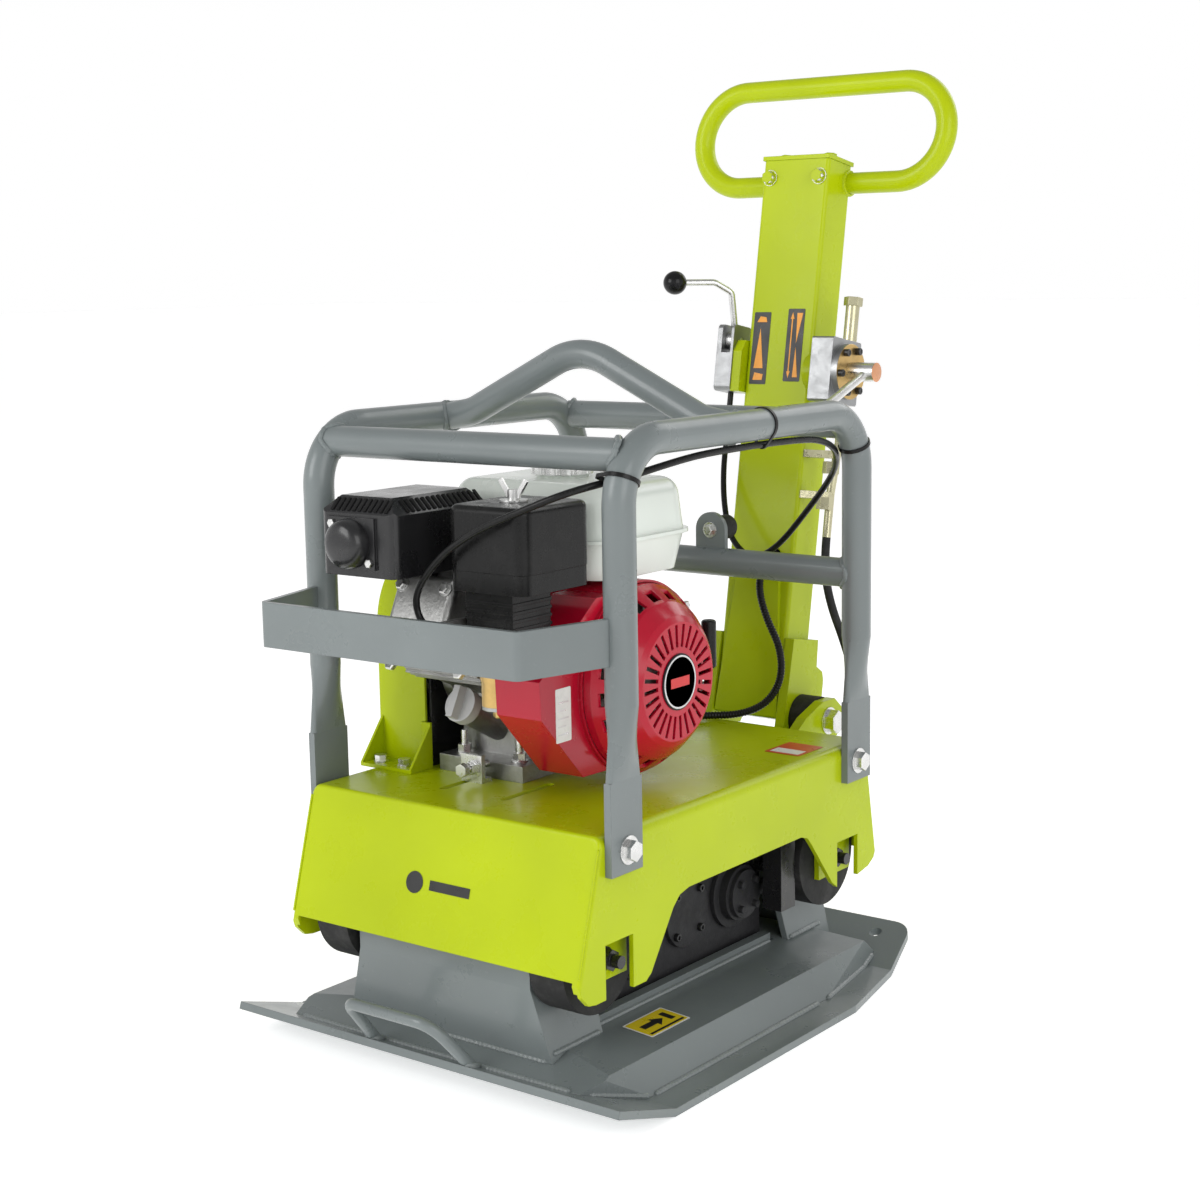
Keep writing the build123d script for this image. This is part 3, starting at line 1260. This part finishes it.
with BuildPart() as direction_lever:
    x_cylinder(106.3, 140, VALVE_AXIS.Y, VALVE_AXIS.Z, 11)
    tube([(127, VALVE_AXIS.Y - 8, VALVE_AXIS.Z - 3), (127, 300, 652.3), (127, 262, 638)], 200, 5)
direction_lever.part.label = "direction_lever"
export_step(direction_lever.part, "parts/direction_lever.step")

with BuildPart() as hydraulic_fittings:
    reservoir = Plane(origin=on_post(88, 12, VALVE_UP + 37), z_dir=POST_AXIS)
    with BuildSketch(reservoir) as pipe:
        Circle(8)
    extrude(pipe.sketch, amount=42)
    with BuildSketch(reservoir.offset(42)) as cap:
        RegularPolygon(9.5, 6, major_radius=False)
    extrude(cap.sketch, amount=10)
    pipe_route = [
        on_post(86, 12, VALVE_UP - 37),
        on_post(86, 12, 330),
        on_post(80, 13, 270),
        on_post(80, 13, 218),
    ]
    tube(pipe_route, [30, 30], 5)
    for up in (334, 292, 250):
        collar = Plane(origin=on_post(84 - (334 - up) * 0.06, 9 - (334 - up) * 0.06, up), z_dir=POST_AXIS)
        with BuildSketch(collar) as hexagon:
            RegularPolygon(8.5, 6, major_radius=False)
        extrude(hexagon.sketch, amount=14)
    for up in (310, 262):
        post_block(half, 84, 2, 16, up, up + 9)
hydraulic_fittings.part.label = "hydraulic_fittings"
export_step(hydraulic_fittings.part, "parts/hydraulic_fittings.step")

# ---------------------------------------------------------------- cords
with BuildPart() as throttle_cable:
    cord(THROTTLE_CABLE_ROUTE, THROTTLE_CABLE_RADIUS)
throttle_cable.part.label = "throttle_cable"
export_step(throttle_cable.part, "parts/throttle_cable.step")

with BuildPart() as wiring_conduit:
    cord(CONDUIT_ROUTE, CONDUIT_RADIUS)
wiring_conduit.part.label = "wiring_conduit"
export_step(wiring_conduit.part, "parts/wiring_conduit.step")

with BuildPart() as hydraulic_hose:
    cord(HOSE_ROUTE, HOSE_RADIUS)
hydraulic_hose.part.label = "hydraulic_hose"
export_step(hydraulic_hose.part, "parts/hydraulic_hose.step")

# Three ties hold the throttle cable to the right-hand hoop: each band wraps tube and cable.
TIE_ANGLE = 25
TIE_Y = HOOP_Y - HOOP_BEND + HOOP_BEND * cos(radians(TIE_ANGLE))
TIE_Z = HOOP_TOP_Z - HOOP_BEND + HOOP_BEND * sin(radians(TIE_ANGLE))
TIE_BANDS = [
    (Plane(origin=(HOOP_X, 28, HOOP_TOP_Z), x_dir=(1, 0, 0), z_dir=(0, -1, 0)), (0, -20.2)),
    (
        Plane(origin=(HOOP_X, TIE_Y, TIE_Z), x_dir=(1, 0, 0),
              z_dir=(0, sin(radians(TIE_ANGLE)), -cos(radians(TIE_ANGLE)))),
        (-16, -14),
    ),
    (
        Plane(origin=(HOOP_X, -TIE_Y, TIE_Z), x_dir=(1, 0, 0),
              z_dir=(0, -sin(radians(TIE_ANGLE)), -cos(radians(TIE_ANGLE)))),
        (-21.5, 4),
    ),
]
with BuildPart() as zip_ties:
    for plane, cable_at in TIE_BANDS:
        for grow, mode in ((1.5, Mode.ADD), (0.3, Mode.SUBTRACT)):
            with BuildSketch(plane.offset(-2)) as band:
                Circle(TUBE_RADIUS + grow)
                with Locations(cable_at):
                    Circle(THROTTLE_CABLE_RADIUS + grow)
                make_hull()
            extrude(band.sketch, amount=4, mode=mode)
zip_ties.part.label = "zip_ties"
export_step(zip_ties.part, "parts/zip_ties.step")
